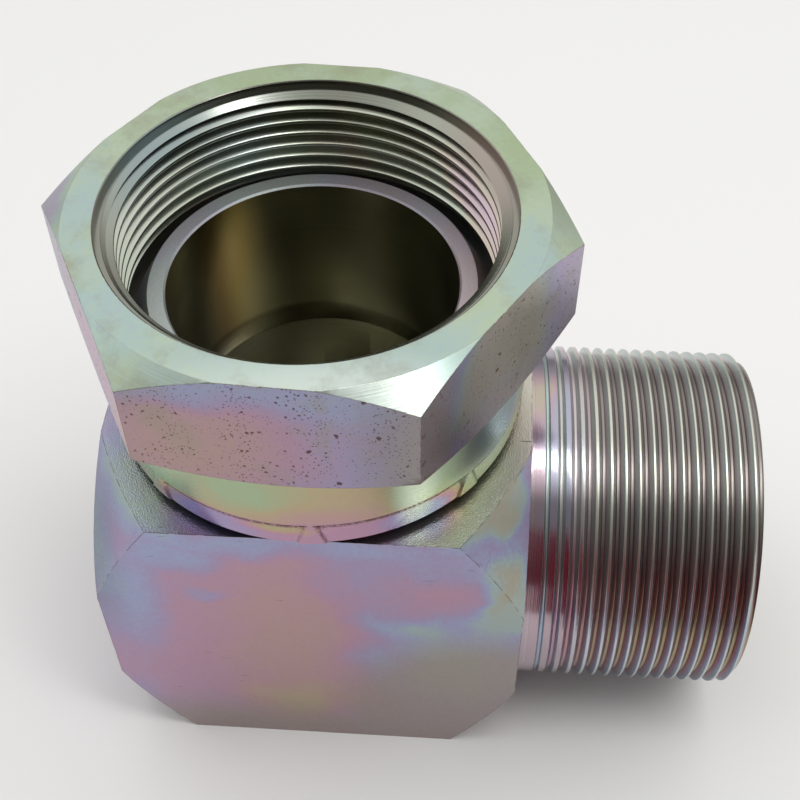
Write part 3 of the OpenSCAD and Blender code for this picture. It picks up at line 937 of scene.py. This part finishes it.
def nut_part(place):
    """0 for the hexagon, 1 for the skirt and 2 for the threaded bore."""
    radius = math.hypot(place.x, place.y)
    if radius < MOUTH_R + 0.25 and NUT_LOW.z + 0.05 < place.z < NUT_HIGH.z - 0.01:
        return 2
    return 1 if radius < SKIRT_R + 0.1 and place.z < NUT_HIGH.z - HEX_H + SKIRT_ROOT else 0


def tail_part(place):
    """0 for the outside and the nose, 1 for the bore."""
    return 1 if math.hypot(place.x, place.y) < TAIL_BORE_R + 0.05 else 0


PHOTO_PX = 800
SENSOR_MM = 36
KEY_AIM = Vector((0.015, 0, 0.05))     # the place on the fitting that the soft box faces


def look_through(azimuth, elevation, roll, target, distance, focal_px):
    """A camera that looks at target, in metres, from azimuth and elevation in degrees. The focal
    length is in pixels of the photograph."""
    azimuth, elevation, roll = (math.radians(a) for a in (azimuth, elevation, roll))
    back = Vector((math.sin(azimuth) * math.cos(elevation), -math.cos(azimuth) * math.cos(elevation),
                   math.sin(elevation)))
    level = Vector((math.cos(azimuth), math.sin(azimuth), 0))
    upright = back.cross(level)
    right = level * math.cos(roll) + upright * math.sin(roll)
    up = upright * math.cos(roll) - level * math.sin(roll)
    place = Vector(target) + back * distance
    bpy.ops.object.camera_add()
    camera = bpy.context.object
    camera.matrix_world = Matrix((
        (right.x, up.x, back.x, place.x), (right.y, up.y, back.y, place.y),
        (right.z, up.z, back.z, place.z), (0, 0, 0, 1)))
    camera.data.sensor_width = SENSOR_MM
    camera.data.lens = focal_px / PHOTO_PX * SENSOR_MM
    camera.data.clip_start = 0.01
    scene.camera = camera


def matt_material(name, colour):
    material = bpy.data.materials.new(name)
    material.use_nodes = True
    shader = material.node_tree.nodes["Principled BSDF"]
    shader.inputs["Base Color"].default_value = linear(colour)
    shader.inputs["Roughness"].default_value = 0.9
    shader.inputs["Specular IOR Level"].default_value = 0.2
    return material


def paper_floor():
    floor = fresh("floor", bpy.ops.mesh.primitive_plane_add, size=4)
    floor.data.materials.append(matt_material("white_paper", "#f4f4f2"))


def mirrored_card(name, colour, corners):
    """A card beside the camera, which only polished surfaces mirror, from its corners in metres."""
    card = fresh(name, bpy.ops.mesh.primitive_plane_add, size=1)
    for vertex, corner in zip(card.data.vertices, corners):
        vertex.co = corner
    card.visible_camera = False
    card.visible_shadow = False
    card.visible_diffuse = False
    card.data.materials.append(matt_material(name, colour))


def soft_box(name, azimuth, elevation, distance, size, size_y, watts):
    """An area light that faces the fitting, from azimuth round from +X and elevation in degrees. Its
    size runs level and its size_y up towards the zenith."""
    azimuth, elevation = math.radians(azimuth), math.radians(elevation)
    back = Vector((math.cos(azimuth) * math.cos(elevation), math.sin(azimuth) * math.cos(elevation),
                   math.sin(elevation)))
    light = fresh(name, bpy.ops.object.light_add, type="AREA", location=KEY_AIM + back * distance,
                  rotation=back.to_track_quat("Z", "Y").to_euler())
    light.data.shape = "RECTANGLE"
    light.data.size = size
    light.data.size_y = size_y
    light.data.energy = watts


def studio_world():
    """A pale room, darker near the ground and in front, and plain white to the camera."""
    world = bpy.data.worlds.new("studio")
    world.use_nodes = True
    tree = world.node_tree
    room = tree.nodes["Background"]
    source = add(tree, "TexCoord")
    parts = add(tree, "SeparateXYZ", {0: source.outputs["Generated"]})
    aside = add(tree, "Math", {0: parts.outputs["X"], 1: parts.outputs["X"]}, operation="MULTIPLY")
    lift = add(tree, "Math", {0: aside, 1: 0.5, 2: parts.outputs["Z"]}, operation="MULTIPLY_ADD")
    height = add(tree, "ValToRGB", {"Fac": lift})
    fill_ramp(height, {0: "#7c7a7c", 0.3: "#b8b4b2", 0.6: "#f6f4f4", 1: "#ffffff"})
    backwards = add(tree, "Math", {0: parts.outputs["Y"], 1: parts.outputs["Z"]}, operation="ARCTAN2")
    front = add(tree, "MapRange", {"Value": backwards, "From Min": math.radians(-16),
                                   "From Max": math.radians(-31), "To Min": 1, "To Max": 0.25})
    shade = add(tree, "VectorMath", {0: height, 1: front}, operation="MULTIPLY")
    tree.links.new(result(shade), room.inputs["Color"])
    room.inputs["Strength"].default_value = 1.15
    plain = add(tree, "Background", {"Color": (1, 1, 1, 1)})
    path = add(tree, "LightPath")
    mixed = add(tree, "MixShader", {0: path.outputs["Is Camera Ray"], 1: room, 2: plain})
    tree.links.new(result(mixed), tree.nodes["World Output"].inputs["Surface"])
    scene.world = world


look_through(azimuth=4.168, elevation=49.267, roll=-0.541, target=(0.012317, 0.012798, 0.045338),
             distance=0.237102, focal_px=1285.771)

block = elbow_block_finish()
tail = swivel_tail_finish()
nut = swivel_nut_finish()
paint(block, [drawn_bar_plating(), turned_stub_plating(), drilled_passage_plating()], block_part)
paint(tail, [tail_nose_plating(), tail_bore_plating()], tail_part)
paint(nut, [nut_hexagon_plating(), nut_skirt_plating(), nut_thread_plating()], nut_part)

paper_floor()
mirrored_card("maroon_card_near", "#7f2036", [
    (0.04, -0.125, 0), (0.09, -0.125, 0), (0.04, -0.125, 0.15), (0.09, -0.125, 0.075)])
mirrored_card("maroon_card_middle", "#7f2036", [
    (0.09, -0.125, 0), (0.3, -0.125, 0), (0.09, -0.125, 0.075), (0.3, -0.125, 0.066)])
mirrored_card("maroon_card_far", "#7f2036", [
    (0.125, -0.126, 0.07), (0.5, -0.126, 0.07), (0.125, -0.126, 0.12), (0.5, -0.126, 0.19)])
# painted shade: a dark grey sheet on the floor in front, which only polished surfaces mirror, stands in
# for the floor's shade there
mirrored_card("floor_shade_card", "#6f6b70", [
    (0.05, -0.125, 0.001), (0.12, -0.125, 0.001), (0.05, -0.078, 0.001), (0.12, -0.078, 0.001)])
soft_box("key_soft_box", azimuth=-32, elevation=70, distance=0.8, size=0.13, size_y=0.5, watts=1.25)
studio_world()
scene.view_settings.view_transform = "Standard"
